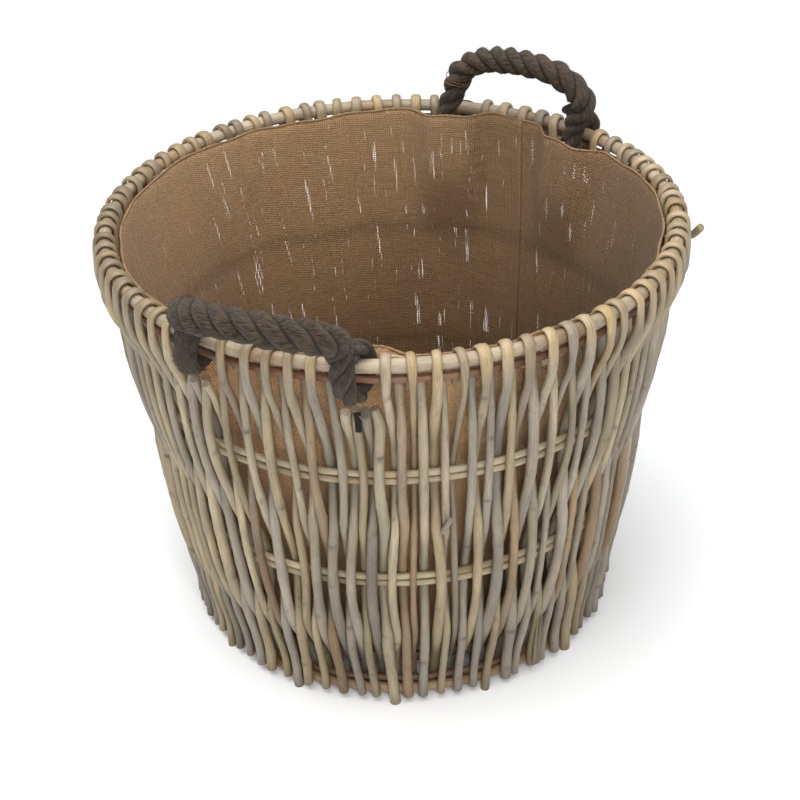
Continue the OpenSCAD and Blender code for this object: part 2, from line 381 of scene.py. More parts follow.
def willow_material():
    """Dry willow: long fine streaks, grey and olive blotches, dark specks, and a sheen where it is bent."""
    s = Shader("willow")
    tint = s.attribute("tint", "Color")
    sheen = s.attribute("tint", "Alpha")
    grain = s.attribute("grain", "Vector")
    streaks = s.noise(s.stretched(grain, (1.0, 1.0, 0.06)), 900, detail=4, roughness=0.65)
    blotches = s.noise(s.stretched(grain, (1.0, 1.0, 0.35)), 75, detail=4, roughness=0.65)
    olive = s.noise(s.stretched(grain, (1.0, 1.0, 0.25)), 45, detail=3, roughness=0.6)
    specks = s.noise(s.stretched(grain, (1.0, 1.0, 0.45)), 380, detail=2, roughness=0.5)
    shaded = s.mix(1.0, tint, s.mix(s.remap(streaks, 0.32, 0.70), grey(0.66), grey(1.16)), "MULTIPLY")
    # Grey blotches of weathered bark.
    toned_down = s.mix(s.remap(blotches, 0.48, 0.72, 0.0, 0.50), shaded, colour((128, 117, 104)))
    mossy = s.mix(s.remap(olive, 0.52, 0.74, 0.0, 0.45), toned_down, colour((122, 107, 74)))
    spotted = s.mix(s.remap(specks, 0.67, 0.78, 0.0, 0.7), mossy, colour((58, 42, 29)))
    bare = s.mix(s.math("MULTIPLY", sheen, 0.75), spotted, shaded)
    rough = s.remap(s.math("SUBTRACT", streaks, s.math("MULTIPLY", sheen, 0.5)), -0.2, 0.75, 0.24, 0.66)
    height = s.math("ADD", streaks, s.math("MULTIPLY", blotches, 0.8))
    s.put(Base_Color=bare, Roughness=rough, Normal=s.bump(height, 0.7, 0.0008))
    return s.material


def rope_material():
    """Dark dyed cotton: fine yarns along the rope, painted shade in the grooves and dusty on the strands."""
    s = Shader("rope")
    grain = s.attribute("grain", "Vector")
    crown = s.attribute("tint", "Alpha")
    yarns = s.noise(s.stretched(grain, (1.0, 1.0, 0.16)), 1100, detail=3, roughness=0.65)
    dust = s.noise(grain, 190, detail=4, roughness=0.7)
    dyed = s.mix(s.remap(yarns, 0.38, 0.64), colour((24, 19, 15)), colour((88, 73, 56)))
    dusty = s.mix(s.math("MULTIPLY", s.remap(dust, 0.45, 0.75), 0.45), dyed, colour((100, 86, 67)))
    # The tint colour darkens a whole rope: painted shade.
    dusty = s.mix(1.0, dusty, s.attribute("tint", "Color"), "MULTIPLY")
    # Painted shade in the grooves between the strands, where the tint's alpha is low.
    groove_shaded = s.mix(crown, colour((14, 12, 10)), dusty)
    height = s.math("ADD", yarns, s.math("MULTIPLY", dust, 0.6))
    s.put(Base_Color=groove_shaded, Roughness=0.95, Specular_IOR_Level=0.12, Sheen_Weight=0.12,
          Sheen_Roughness=0.6, Normal=s.bump(height, 1.0, 0.0016))
    return s.material


THREAD_PITCH = 0.0019


def hessian_material(name, lightness):
    """Open plain weave of coarse jute, see-through between its threads."""
    s = Shader(name)
    cloth = s.attribute("grain", "Vector")
    tint = s.attribute("tint", "Color")
    offset = s.nodes.new("ShaderNodeVectorMath")
    offset.operation = "MULTIPLY_ADD"
    s.link(s.noise(cloth, 150, detail=2, output="Color"), offset.inputs[0])
    offset.inputs[1].default_value = (0.0016, 0.0016, 0)
    s.link(cloth, offset.inputs[2])
    x, y, _ = s.split(offset.outputs[0])
    turns = 2 * math.pi / THREAD_PITCH
    warp = s.math("COSINE", s.math("MULTIPLY", x, turns))
    weft = s.math("COSINE", s.math("MULTIPLY", y, turns))
    over_under = s.math("MULTIPLY", s.math("COSINE", s.math("MULTIPLY", x, turns / 2)),
                        s.math("COSINE", s.math("MULTIPLY", y, turns / 2)))
    weave = s.math("ADD", s.math("MAXIMUM", s.math("MULTIPLY", warp, 0.5), s.math("MULTIPLY", weft, 0.5)),
                   s.math("MULTIPLY", over_under, 0.25))
    warp_tone = s.noise(s.stretched(cloth, (1.0, 0.05, 1.0)), 700, detail=3, roughness=0.7)
    weft_tone = s.noise(s.stretched(cloth, (0.05, 1.0, 1.0)), 700, detail=3, roughness=0.7)
    tone = s.math("MULTIPLY", s.math("ADD", warp_tone, weft_tone), 0.5)
    toned = s.mix(1.0, tint, s.mix(s.remap(tone, 0.38, 0.62), grey(0.66), grey(1.26)), "MULTIPLY")
    raised = s.mix(s.remap(weave, -0.5, 0.3), grey(0.34 * lightness), grey(1.10 * lightness))
    base = s.mix(1.0, toned, raised, "MULTIPLY")
    upright = s.attribute("tint", "Alpha")
    place = s.nodes.new("ShaderNodeCombineXYZ")
    s.link(upright, place.inputs[0])
    s.link(s.math("MULTIPLY", s.split(cloth)[2], 0.05), place.inputs[1])
    pulled = s.noise(place.outputs[0], 240, detail=3, roughness=0.6)
    holes = s.math("LESS_THAN", weave, s.remap(pulled, 0.52, 0.64, -0.60, 0.05))
    s.put(Base_Color=base, Roughness=0.92, Specular_IOR_Level=0.12, Sheen_Weight=0.1,
          Normal=s.bump(weave, 0.7, 0.0008), Alpha=s.math("SUBTRACT", 1.0, holes))
    return s.material


def fibre_material(name, rgb):
    """Plain spun fibre in one colour with finer darker threads."""
    s = Shader(name)
    fibres = s.noise(s.stretched(s.attribute("grain", "Vector"), (1.0, 1.0, 0.2)), 2600, detail=3)
    base = s.mix(s.remap(fibres, 0.3, 0.7), colour([0.62 * c for c in rgb]), colour(rgb))
    s.put(Base_Color=base, Roughness=0.9, Specular_IOR_Level=0.2, Normal=s.bump(fibres, 0.5, 0.0004))
    return s.material


WILLOW = willow_material()
ROPE = rope_material()
HESSIAN = hessian_material("hessian", 1.0)
HESSIAN_LIT = hessian_material("hessian_lit_through", 2.4)
JUTE = fibre_material("jute_thread", (164, 133, 98))
TWINE = fibre_material("twine", (140, 96, 62))
TAPE = fibre_material("binding_tape", (38, 36, 33))


def add_fibre(pile, points, half):
    """A three-sided hair that thins out towards its end."""
    along = tangents(points)
    side, top = carried(along, unit(np.cross(along[0], [0.31, 0.53, 0.79])))
    phi = circle(3)
    size = np.linspace(half, 0.3 * half, len(points))[:, None]
    rings = sweep(points, side, top, size * np.cos(phi), size * np.sin(phi))
    pile.grid(rings, rings, (0.8, 0.8, 0.8, 0.8), wrap_columns=True)


def hair_points(rng, root, lean, length):
    """A curling hair of four points from its root."""
    steps = np.linspace(0, 1, 4)[:, None]
    return root + length * steps * lean + length * 0.5 * steps ** 2 * rng.normal(0, 0.55, 3)


# ---------------------------------------------------------------- rope handles

ROPE_D = 0.026
EYE_WIDTH = 0.0200
EYE_THICK = 0.0135
LAY = 0.050
NEAR_LEAN = math.radians(57)
ROPE_STEPS = 320
# Middle line of half a handle, upright, in mm: outward, along the rim and up from the hinge line's middle.
# It starts where the rope's end is spliced into its leg, goes once round the rim and rises to the grip.
HALF_ROUTE = [
    (-12, 61, 31), (-2, 64, 28), (8, 67, 22), (16, 69, 13), (19.5, 69, 3), (18, 69, -8), (10.5, 69, -17),
    (-1.5, 69, -20), (-12.5, 69, -15.5), (-18.5, 69, -7), (-19.5, 69, 3), (-19, 67, 14),
    (-19.5, 61, 27), (-19.5, 57, 40), (-19.5, 53, 52), (-19.5, 45, 61), (-19, 33, 68), (-19, 17, 72),
    (-19, 0, 73),
]
EYE_POINTS = 11
SPLICE_POINTS = 4
NEVER_WORN = 2.0


def rope_rows(shift, narrow, open_start, down_outside):
    """Whole route in metres, with how far the rope has swelled from the squeezed eye to its full size.

    The legs move along the rim by shift and draw together by narrow, both in mm; the eyes stay in place.
    With down_outside the legs go down the outside of the rim and the eyes close on its inside.
    """
    whole = HALF_ROUTE + [(o, -t, h) for o, t, h in HALF_ROUTE[-2::-1]]
    last = len(whole) - 1
    rows = []
    for i, (o, t, h) in enumerate(whole):
        from_end = min(i, last - i)
        full = float(smooth_step((from_end - EYE_POINTS + 0.5) / 3))
        if down_outside:
            o *= 1 - 2 * float(smooth_step((EYE_POINTS + 1.8 - from_end) / 2.4))
        t += full * (shift - narrow * t / 60)
        rows.append((o / 1000, t / 1000, h / 1000, full))
    if down_outside:
        rows = rows[2:-2]
    return rows[SPLICE_POINTS:] if open_start else rows


def at_rim(az, lean, point):
    """A handle's own point (outward, along, up) placed at the rim at azimuth az, leaning outwards."""
    o, t, h = point
    out = o * math.cos(lean) + h * math.sin(lean)
    up = h * math.cos(lean) - o * math.sin(lean)
    return radial(az) * (HINGE_R + out) + tangential(az) * t + UP * (HINGE_Z + up)


def laid_outline(angle):
    """Outline of three round strands laid together, as a share of the rope's radius."""
    off = (angle + math.pi / 3) % (2 * math.pi / 3) - math.pi / 3
    centre, strand = 0.42, 0.58
    return centre * np.cos(off) + np.sqrt(strand ** 2 - (centre * np.sin(off)) ** 2)


def rope_handle(name, az, lean, body, node, rows, fullness, worn_from, painted_shade, seed):
    """Three-strand laid rope along its route, felted from worn_from (a share of it), and its loose hairs."""
    rng = np.random.default_rng(seed)
    line = spaced(curve(rows, 20), ROPE_STEPS)
    centre = np.array([at_rim(az, lean, p[:3]) for p in line])
    along = tangents(centre)
    side, top = carried(along, tangential(az))
    s = lengths(centre)
    phi = circle(72)
    angle = phi - (2 * math.pi * s / LAY + 0.35 * np.sin(s * 47 + seed))[:, None]
    worn = 0.72 * smooth_step((s / s[-1] - worn_from) / 0.10)
    laid = laid_outline(angle)
    crown = (laid - laid.min()) / np.ptp(laid)
    outline = laid + worn[:, None] * (laid.mean() * 1.03 - laid)
    yarns = 0.5 + 0.5 * np.cos(30 * phi + 2.2 * np.sin(3 * angle))
    waver = 1 + 0.03 * np.sin(s * 90 + seed)[:, None] * np.sin(2 * phi + 1.3)
    waver = waver + 0.025 * np.sin(s * 210 + 3)[:, None]
    radius = outline * waver + 0.02 * yarns * crown
    wide = (EYE_WIDTH + (ROPE_D * fullness - EYE_WIDTH) * line[:, 3])[:, None] / 2
    thick = (EYE_THICK + (ROPE_D * fullness - EYE_THICK) * line[:, 3])[:, None] / 2
    rings = sweep(centre, side, top, wide * radius * np.cos(phi), thick * radius * np.sin(phi))
    flat = ROPE_D / 2 * np.ones_like(radius)
    # Every colour of the rope is multiplied by this factor, which is below 1 for painted shade.
    tint = np.full((*radius.shape, 4), painted_shade)
    # The alpha is low in the grooves between the strands, for painted shade there, and rises where the rope
    # is felted.
    tint[..., 3] = smooth_step(crown * 2.2 + 0.1 + worn[:, None])
    pile = Pile()
    pile.tube(rings, grain_of(flat * np.cos(phi), flat * np.sin(phi), s), tint)
    rope = pile.build(name, ROPE, body)
    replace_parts(rope, node)
    hairs = Pile()
    shagginess = 1 + 3 * worn[2:-2]
    rooted = rng.choice(np.arange(2, len(s) - 2), p=shagginess / shagginess.sum(), size=6600)
    for j in rooted:
        k = rng.integers(0, len(phi))
        out = unit(rings[j, k] - centre[j])
        way = unit(out * rng.uniform(0.2, 0.9) + along[j] * rng.uniform(-1, 1) + rng.normal(0, 0.35, 3))
        add_fibre(hairs, hair_points(rng, rings[j, k] - 0.0003 * out, way, rng.uniform(0.0012, 0.0036)),
                  rng.uniform(0.00010, 0.00018))
    return rope, hairs.build(name + "_hairs", ROPE, body), centre, s[-1]


def twine_round(line, body):
    """A turn and a half of thin twine round the far handle's left shoulder, with two loose ends."""
    half_way = len(line) // 2
    at = np.abs(line[:half_way, 2] - (HINGE_Z + 0.046)).argmin()
    along = unit(line[at + 1] - line[at - 1])
    side = unit(np.cross(along, UP))
    top = np.cross(along, side)
    turns = np.linspace(-0.4, 3.3 * math.pi, 96)
    loose = np.maximum(0, np.abs(turns - turns.mean()) - 4.6) * 0.006
    reach = (ROPE_D / 2 - 0.0006 + loose)[:, None]
    middle = line[at] + (turns - turns.mean())[:, None] * 0.0004 * along
    points = middle + reach * (np.cos(turns)[:, None] * side + np.sin(turns)[:, None] * top)
    direction = tangents(points)
    across, up = carried(direction, along)
    phi = circle(6)
    half = 0.0005 * np.ones((len(points), 1))
    pile = Pile()
    pile.tube(sweep(points, across, up, half * np.cos(phi), half * np.sin(phi)),
              grain_of(half * np.cos(phi), half * np.sin(phi), lengths(points)), colour((140, 96, 62)))
    piece = pile.build("far_twine_turns", TWINE, body)
    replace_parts(piece, "far_twine")
    return piece


def make_handles():
    far_rows = rope_rows(shift=-12, narrow=-12, open_start=True, down_outside=False)
    near_rows = rope_rows(shift=1.5, narrow=-6, open_start=False, down_outside=True)
    far, far_hairs, far_line, far_length = rope_handle(
        "far_rope_laid", FAR_AZ, 0.0, "far_handle", "far_rope", far_rows,
        fullness=0.96, worn_from=NEVER_WORN, painted_shade=1.0, seed=11)
    # The near rope's colour is 0.8 times darker: painted shade.
    near, near_hairs, near_line, near_length = rope_handle(
        "near_rope_laid", NEAR_AZ, NEAR_LEAN, "near_handle", "near_rope", near_rows,
        fullness=1.04, worn_from=0.58, painted_shade=0.80, seed=12)
    twine = twine_round(far_line, "far_handle")


make_handles()

# ---------------------------------------------------------------- stakes

BAND_T = 0.0042
BAND_R = RIM_ROD + BAND_T / 2 + 0.0004
LEVELS = 54
WALL_TOP_Z = RIM_Z - 0.022
EYE_CLEAR = math.radians(4.5)
NEAR_STOP_Z = HINGE_Z - 0.0335
FAR_STOP_Z = HINGE_Z - 0.038
SPRUNG_STAKE = 70
LONG_STAKE = 48
LONG_STAKE_HALF = 0.0050
STAKE_HALVES = [0.0030, 0.0034, 0.0038, 0.0042, 0.0047]
STAKE_HALF_SHARES = [0.12, 0.22, 0.27, 0.24, 0.15]
HOOP_ROOM = 0.0004

BEIGE = [(182, 164, 130), (172, 152, 116), (166, 148, 114), (190, 174, 142), (176, 156, 122)]
WARM_GREY = [(150, 139, 122), (140, 129, 112), (158, 148, 132), (131, 120, 105), (164, 152, 136)]
TAN = [(150, 122, 88), (138, 110, 78), (160, 134, 98)]
GOLD = (196, 168, 122)
DARK_TONES = (linear((82, 80, 62)), linear((70, 62, 52)))
# Azimuth where the bands over the rim get the strongest painted shade.
SHADED_SIDE_AZ = math.radians(118)


def stake_tones(rng, az):
    """Two tints for one stake: it drifts between them from its foot to its top."""
    warm = 0.44 + 0.26 * math.cos(az - math.radians(150))
    pick = rng.random()
    family = TAN if pick < 0.09 else BEIGE if pick < 0.09 + 0.9 * warm else WARM_GREY
    first = linear(family[rng.integers(len(family))])
    other = linear((BEIGE + WARM_GREY)[rng.integers(len(BEIGE + WARM_GREY))])
    return first * rng.uniform(0.80, 1.06), (0.45 * first + 0.55 * other) * rng.uniform(0.88, 1.08)


def wall_path(over, half, z):
    """Radius of a stake's middle line at heights z: it passes the hoops on alternate sides."""
    past = WALL_ROD + half + HOOP_ROOM
    foot_side = BASE_ROD + half + HOOP_ROOM
    between = (LOWER_R + UPPER_R) / 2
    if over:
        rows = [(0.0, BASE_R - foot_side), (BASE_UPPER_Z + 0.004, BASE_R - foot_side),
                (0.080, (BASE_R + LOWER_R) / 2 + 0.005), (LOWER_Z, LOWER_R + past), (0.208, between + 0.003),
                (UPPER_Z, UPPER_R - past), (RIM_Z - 0.055, RIM_R - 0.006),
                (WALL_TOP_Z, RIM_R + BAND_R - 0.001), (RIM_Z, RIM_R + BAND_R)]
    else:
        rows = [(0.0, BASE_R + foot_side), (BASE_UPPER_Z, BASE_R + foot_side), (0.080, LOWER_R - 0.004),
                (LOWER_Z, LOWER_R - past), (0.208, between + 0.002), (UPPER_Z, UPPER_R + past),
                (0.330, RIM_R - 0.0065), (UNDER_Z, RIM_R - UNDER_ROD - half - HOOP_ROOM),
                (RIM_Z, RIM_R - UNDER_ROD - half - HOOP_ROOM)]
    at, r = np.array(rows).T
    slope = np.gradient(r, at)
    i = np.clip(np.searchsorted(at, z, side="right") - 1, 0, len(at) - 2)
    gap = at[i + 1] - at[i]
    t = (z - at[i]) / gap
    return ((2 * t ** 3 - 3 * t ** 2 + 1) * r[i] + (t ** 3 - 2 * t ** 2 + t) * gap * slope[i]
            + (3 * t ** 2 - 2 * t ** 3) * r[i + 1] + (t ** 3 - t ** 2) * gap * slope[i + 1])


def top_places(rng, az):
    """Sideways place of each stake's top: the ones under a rope eye gather below it."""
    gap = eye_gap(az)
    gathered = -0.72 * gap * RIM_R
    free = np.clip(rng.normal(0, 0.0015, len(az)), -0.0026, 0.0026) * (np.abs(gap) > 1.9 * EYE_CLEAR)
    return np.where(np.abs(gap) < EYE_CLEAR, gathered, free)


def push_apart(offset, radius, halves, neighbour):
    """Moves stakes and their neighbours apart wherever they would lie in each other."""
    spacing = neighbour * STAKE_STEP / 2 * 0.5 * (radius + np.roll(radius, -neighbour, axis=0))
    depth = radius - np.roll(radius, -neighbour, axis=0)
    reach = (halves + np.roll(halves, -neighbour))[:, None] + 0.0002
    needed = np.sqrt(np.maximum(0.0, reach ** 2 - depth ** 2))
    between = spacing + np.roll(offset, -neighbour, axis=0) - offset
    push = np.maximum(0.0, needed - between) * 0.45
    return offset - push + np.roll(push, neighbour, axis=0)


def lay_out_wall(rng, halves, az):
    """Radius and sideways offset of every stake at every level."""
    total = len(az)
    z = np.linspace(0.0, WALL_TOP_Z, LEVELS)
    radius = np.stack([wall_path(j % 2 == 0, halves[j], z) for j in range(total)])
    rise = z / WALL_TOP_Z
    loose = np.sin(math.pi * rise) ** 0.6
    offset = 0.0050 * np.sin(3 * az[:, None] + 1.0 + 6 * z) + 0.0036 * np.sin(7 * az[:, None] - 11 * z)
    for amplitude, slow, fast in ((0.0030, 6, 14), (0.0024, 14, 26), (0.0014, 26, 48)):
        wave = rng.uniform(slow, fast, total)[:, None]
        sway = rng.normal(0, amplitude, total)[:, None]
        offset = offset + sway * np.sin(wave * z + rng.uniform(0, 6.3, total)[:, None])
    top = top_places(rng, az)[:, None]
    foot_shift = np.clip(rng.normal(0, 0.0028, total), -0.005, 0.005)[:, None]
    offset = offset * loose + foot_shift * (1 - rise) ** 2 + top * smooth_step((rise - 0.55) / 0.4)
    for _ in range(160):
        offset = push_apart(offset, radius, halves, 1)
        offset = push_apart(offset, radius, halves, 2)
        inner = 0.25 * offset[:, :-2] + 0.5 * offset[:, 1:-1] + 0.25 * offset[:, 2:]
        offset[:, 1:-1] = 0.6 * offset[:, 1:-1] + 0.4 * inner
        offset[:, -1] = top[:, 0]
    return z, radius, offset


def knots(rng, s, half, phi):
    """Swelling along a stake, and how dark its bud scars are on one side."""
    swell = 1 + 0.05 * np.sin(s * rng.uniform(20, 45) + rng.uniform(0, 6.3))
    swell = swell + 0.03 * np.sin(s * rng.uniform(90, 150))
    scars = np.zeros((len(s), len(phi)))
    at = rng.uniform(0.01, 0.05)
    while at < s[-1]:
        near = np.exp(-((s - at) / (half * rng.uniform(0.6, 1.1))) ** 2)
        swell = swell + rng.uniform(0.03, 0.15) * near
        facing_scar = (0.5 + 0.5 * np.cos(phi - rng.uniform(0, 6.3))) ** 4
        scars = scars + rng.uniform(0.1, 0.9) * near[:, None] ** 3 * facing_scar
        at += rng.uniform(0.022, 0.085)
    return swell, np.clip(scars, 0, 0.75)


def add_stake(pile, rng, az, rows, tones, sides=12):
    """One stake through rows of (radius, sideways, height, half width, half thickness, bent)."""
    line = curve(rows, 2)
    centre = line[:, :1] * radial(az) + line[:, 1:2] * tangential(az) + line[:, 2:3] * UP
    side, top = facing(tangents(centre), np.broadcast_to(tangential(az), centre.shape))
    s = lengths(centre)
    phi = circle(sides)
    bent = np.clip(line[:, 5], 0, 1)
    swell, scars = knots(rng, s, rows[0][3], phi)
    swell = 1 + (swell - 1) * (1 - bent)
    oval = rng.uniform(0.93, 1.07)
    x = (line[:, 3] * swell * oval)[:, None] * np.cos(phi)
    y = (line[:, 4] * swell / oval)[:, None] * np.sin(phi)
    drift = smooth_step(s / s[-1] * 1.3 - 0.15 + 0.2 * np.sin(s * 17 + rng.uniform(0, 6.3)))
    patches = 1 + 0.10 * np.sin(s * rng.uniform(24, 46) + rng.uniform(0, 6.3))
    patches = patches + 0.07 * np.sin(s * rng.uniform(60, 110))
    height = line[:, 2]
    # Darker near the floor and towards the foot: painted shade.
    low_shade = (1 - 0.30 * smooth_step(1 - height / 0.022)) * (0.74 + 0.18 * smooth_step(height / 0.20))
    tone = tones[0] * (1 - drift[:, None]) + tones[1] * drift[:, None]
    tone = tone * (patches * low_shade)[:, None]
    golden = rng.uniform(0.15, 0.75)
    # The band over the rim gets a random tone for each stake, times painted shade that is strongest at 118
    # degrees round the basket.
    toned_down = rng.uniform(0.74, 1.0) * (1 - 0.36 * max(0.0, math.cos(az - SHADED_SIDE_AZ)) ** 2)
    wrap = ((1 - golden) * tone + golden * linear(GOLD)) * toned_down
    tone = tone * (1 - bent[:, None]) + wrap * bent[:, None]
    tint = np.empty((len(s), sides, 4))
    tint[..., :3] = tone[:, None] * (1 - scars[..., None] * (1 - bent[:, None, None]))
    tint[..., 3] = bent[:, None]
    pile.tube(sweep(centre, side, top, x, y), grain_of(x, y, s + rng.uniform(0, 50)), tint)


def wall_rows(z, radius, offset, half, foot_z, top_z):
    """Rows of one stake's wall stretch, tapering upwards."""
    rows = []
    for at, r, shift in zip(z, radius, offset):
        if at <= top_z:
            size = half * (1.05 - 0.12 * at / WALL_TOP_Z)
            rows.append((r, shift, max(at, foot_z), size, size, 0.0))
    return rows[int(np.searchsorted(z, foot_z)):] if foot_z > 0 else rows


def band_rows(rng, half, shift):
    """The flattened band over the rim and its tail inside."""
    skew = rng.normal(0, 0.0004)
    width = rng.uniform(0.0038, 0.0054)
    rows = [(RIM_R + BAND_R + 0.0003, shift, RIM_Z - 0.011, (half + width) / 2, 0.0028, 0.5)]
    for step, phi in enumerate(np.radians([0, 30, 60, 90, 120, 150, 180])):
        rows.append((RIM_R + BAND_R * math.cos(phi), shift + skew * step, RIM_Z + BAND_R * math.sin(phi),
                     width, BAND_T / 2, 1.0))
    tail = rng.uniform(0.018, 0.028)
    rows.append((RIM_R - BAND_R, shift + 7 * skew, RIM_Z - 0.010, width, BAND_T / 2, 0.8))
    rows.append((RIM_R - BAND_R - 0.0003, shift + 8 * skew, RIM_Z - tail, width * 0.8, BAND_T / 2, 0.3))
    return rows


def sprung_rows(half, shift):
    """A stake that has sprung off the rim: it leans out and sideways and stops short."""
    return [(RIM_R + BAND_R + 0.006, shift - 0.007, RIM_Z - 0.020, half, half, 0.0),
            (RIM_R + BAND_R + 0.012, shift - 0.014, RIM_Z - 0.009, half, half, 0.0)]


def make_stakes():
    rng = np.random.default_rng(84)
    total = 2 * STAKES_PER_SET
    az = FIRST_AZ + STAKE_STEP / 2 * np.arange(total)
    halves = rng.choice(STAKE_HALVES, p=STAKE_HALF_SHARES, size=total)
    halves[2 * LONG_STAKE + 1] = LONG_STAKE_HALF
    z, radius, offset = lay_out_wall(rng, halves, az)
    stopped = np.abs(eye_gap(az)) < EYE_CLEAR
    foot_heights = [0.0, 0.003, 0.005, 0.002, 0.004, 0.001]
    for over in (True, False):
        kind = "over_rim" if over else "under_rim"
        for group in range(STAKES_PER_SET // STAKES_PER_NODE):
            pile = Pile()
            for i in range(group * STAKES_PER_NODE, (group + 1) * STAKES_PER_NODE):
                j = 2 * i + (not over)
                own = np.random.default_rng(1000 + j)
                foot_z = 0.006 if over else foot_heights[i % len(foot_heights)]
                stop_z = FAR_STOP_Z if abs(signed_gap(az[j], FAR_AZ)) < math.pi / 2 else NEAR_STOP_Z
                top_z = stop_z if stopped[j] else WALL_TOP_Z
                rows = wall_rows(z, radius[j], offset[j], halves[j], foot_z, top_z)
                shift = offset[j, -1]
                if over and i == SPRUNG_STAKE:
                    rows += sprung_rows(halves[j], shift)
                    split = [(RIM_R + BAND_R + 0.0008, shift + 0.003, RIM_Z - 0.018, 0.003, 0.0012, 0.0)]
                    add_stake(pile, own, az[j], split + band_rows(own, 0.0034, shift + 0.003), DARK_TONES)
                elif over and not stopped[j]:
                    rows += band_rows(own, halves[j], shift)
                elif not stopped[j]:
                    rows.append((radius[j, -1], shift, RIM_Z - 0.009, halves[j] * 0.9, halves[j] * 0.9, 0.0))
                add_stake(pile, own, az[j], rows, stake_tones(own, az[j]))
            piece = pile.build(f"{kind}_willow_{group + 1:02d}", WILLOW, "basket")
            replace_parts(piece, f"{kind}_stakes_{group + 1:02d}")


make_stakes()


def add_rod(pile, rng, points, half, rgb, sides=10, side_hint=UP, sheen=0.1):
    """A short round rod along points; half may be one number or one for each point."""
    along = tangents(points)
    side, top = facing(along, np.broadcast_to(side_hint, points.shape))
    s = lengths(points)
    size = (half * (1 + 0.05 * np.sin(s * 60 + rng.uniform(0, 6.3))))[:, None]
    phi = circle(sides)
    x, y = size * np.cos(phi), size * np.sin(phi)
    tint = np.append(linear(rgb) * rng.uniform(0.80, 1.15), sheen)
    pile.tube(sweep(points, side, top, x, y), grain_of(x, y, s + rng.uniform(0, 20)), tint)


def on_wall(az_deg, r, z):
    """Point at an azimuth in degrees, a radius and a height."""
    return r * radial(math.radians(az_deg)) + z * UP


def make_loose_ends():
    """A branch stub, a twig end behind the rim and splinters of a split stake near the base."""
    rng = np.random.default_rng(5)
    pile = Pile()
    stub = curve([on_wall(216.6, 0.2255, 0.206), on_wall(216.9, 0.2300, 0.214),
                  on_wall(217.6, 0.2375, 0.226)], 5)
    add_rod(pile, rng, stub, np.linspace(0.0032, 0.0022, len(stub)), (132, 122, 104))
    twig = curve([on_wall(204.8, 0.2360, 0.3800), on_wall(207.0, 0.2375, 0.3860),
                  on_wall(210.0, 0.2380, 0.3840)], 6)
    add_rod(pile, rng, twig, np.linspace(0.0014, 0.0010, len(twig)), (196, 172, 128), sides=8)
    for k in range(5):
        az = 242.2 + 0.45 * k
        lean = rng.uniform(-0.6, 0.6)
        strip = curve([on_wall(az, 0.2050, 0.012), on_wall(az + lean / 2, 0.2075, 0.040),
                       on_wall(az + lean, 0.2105, 0.066 + 0.006 * rng.random())], 5)
        add_rod(pile, rng, strip, np.linspace(0.0011, 0.0004, len(strip)), (120, 106, 82), sides=6)
    pile.build("loose_willow_ends", WILLOW, "basket")


make_loose_ends()

# ---------------------------------------------------------------- hoops and base

BASE_STICKS = 9
BASE_WEAVERS = 31
HOOPS = [
    ("rim_hoop", (178, 162, 136), "willow_pale"), ("rim_under_hoop", (128, 88, 62), "willow_red"),
    ("upper_hoop_top", (196, 182, 152), "willow_pale"),
    ("upper_hoop_bottom", (180, 164, 134), "willow_grey"),
    ("lower_hoop_top", (196, 180, 146), "willow_pale"),
    ("lower_hoop_bottom", (184, 168, 134), "willow_grey"),
    ("base_hoop_upper", (118, 84, 58), "willow_red"), ("base_hoop_lower", (166, 136, 100), "willow_red"),
    ("base_frame_hoop", (104, 76, 52), "willow_red"),
]


def ring_rod(node, rgb, seed):
    """A hoop of one long rod, with a slight waver and brown patches."""
    ring_r, z, rod = hoop_of(node)
    rng = np.random.default_rng(seed)
    turn = np.linspace(0, 2 * math.pi, 360, endpoint=False)
    phase = rng.uniform(0, 6.3, 5)
    waver = 0.0003 * np.sin(5 * turn + phase[0]) + 0.0002 * np.sin(17 * turn + phase[1])
    size = rod * (0.98 + 0.03 * np.sin(9 * turn + phase[2]) + 0.025 * np.sin(31 * turn + phase[3]))[:, None]
    out = np.stack([np.cos(turn), np.sin(turn), 0 * turn], axis=1)
    centre = out * (ring_r + waver)[:, None] + z * UP
    side, top = facing(tangents(centre, closed=True), out)
    phi = circle(14)
    x, y = size * np.cos(phi), size * np.sin(phi)
    patch = 0.88 + 0.14 * np.sin(3 * turn + phase[1]) + 0.10 * np.sin(13 * turn + phase[2])
    patch = patch + 0.06 * np.sin(37 * turn)
    brown = smooth_step(np.sin(7 * turn + phase[4]) + 0.6 * np.sin(19 * turn + phase[0]) - 0.2)[:, None]
    tone = linear(rgb) * patch[:, None] * (1 - 0.35 * brown * np.array([0.6, 1.0, 1.3]))
    tint = np.concatenate([tone, np.full((len(turn), 1), 0.5)], axis=1)[:, None]
    pile = Pile()
    pile.tube(sweep(centre, side, top, x, y), grain_of(x, y, turn * ring_r), tint, closed=True)
    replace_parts(pile.build(node + "_willow", WILLOW, "basket"), node)


for number, (node, rgb, slot) in enumerate(HOOPS):
    ring_rod(node, rgb, 200 + number)


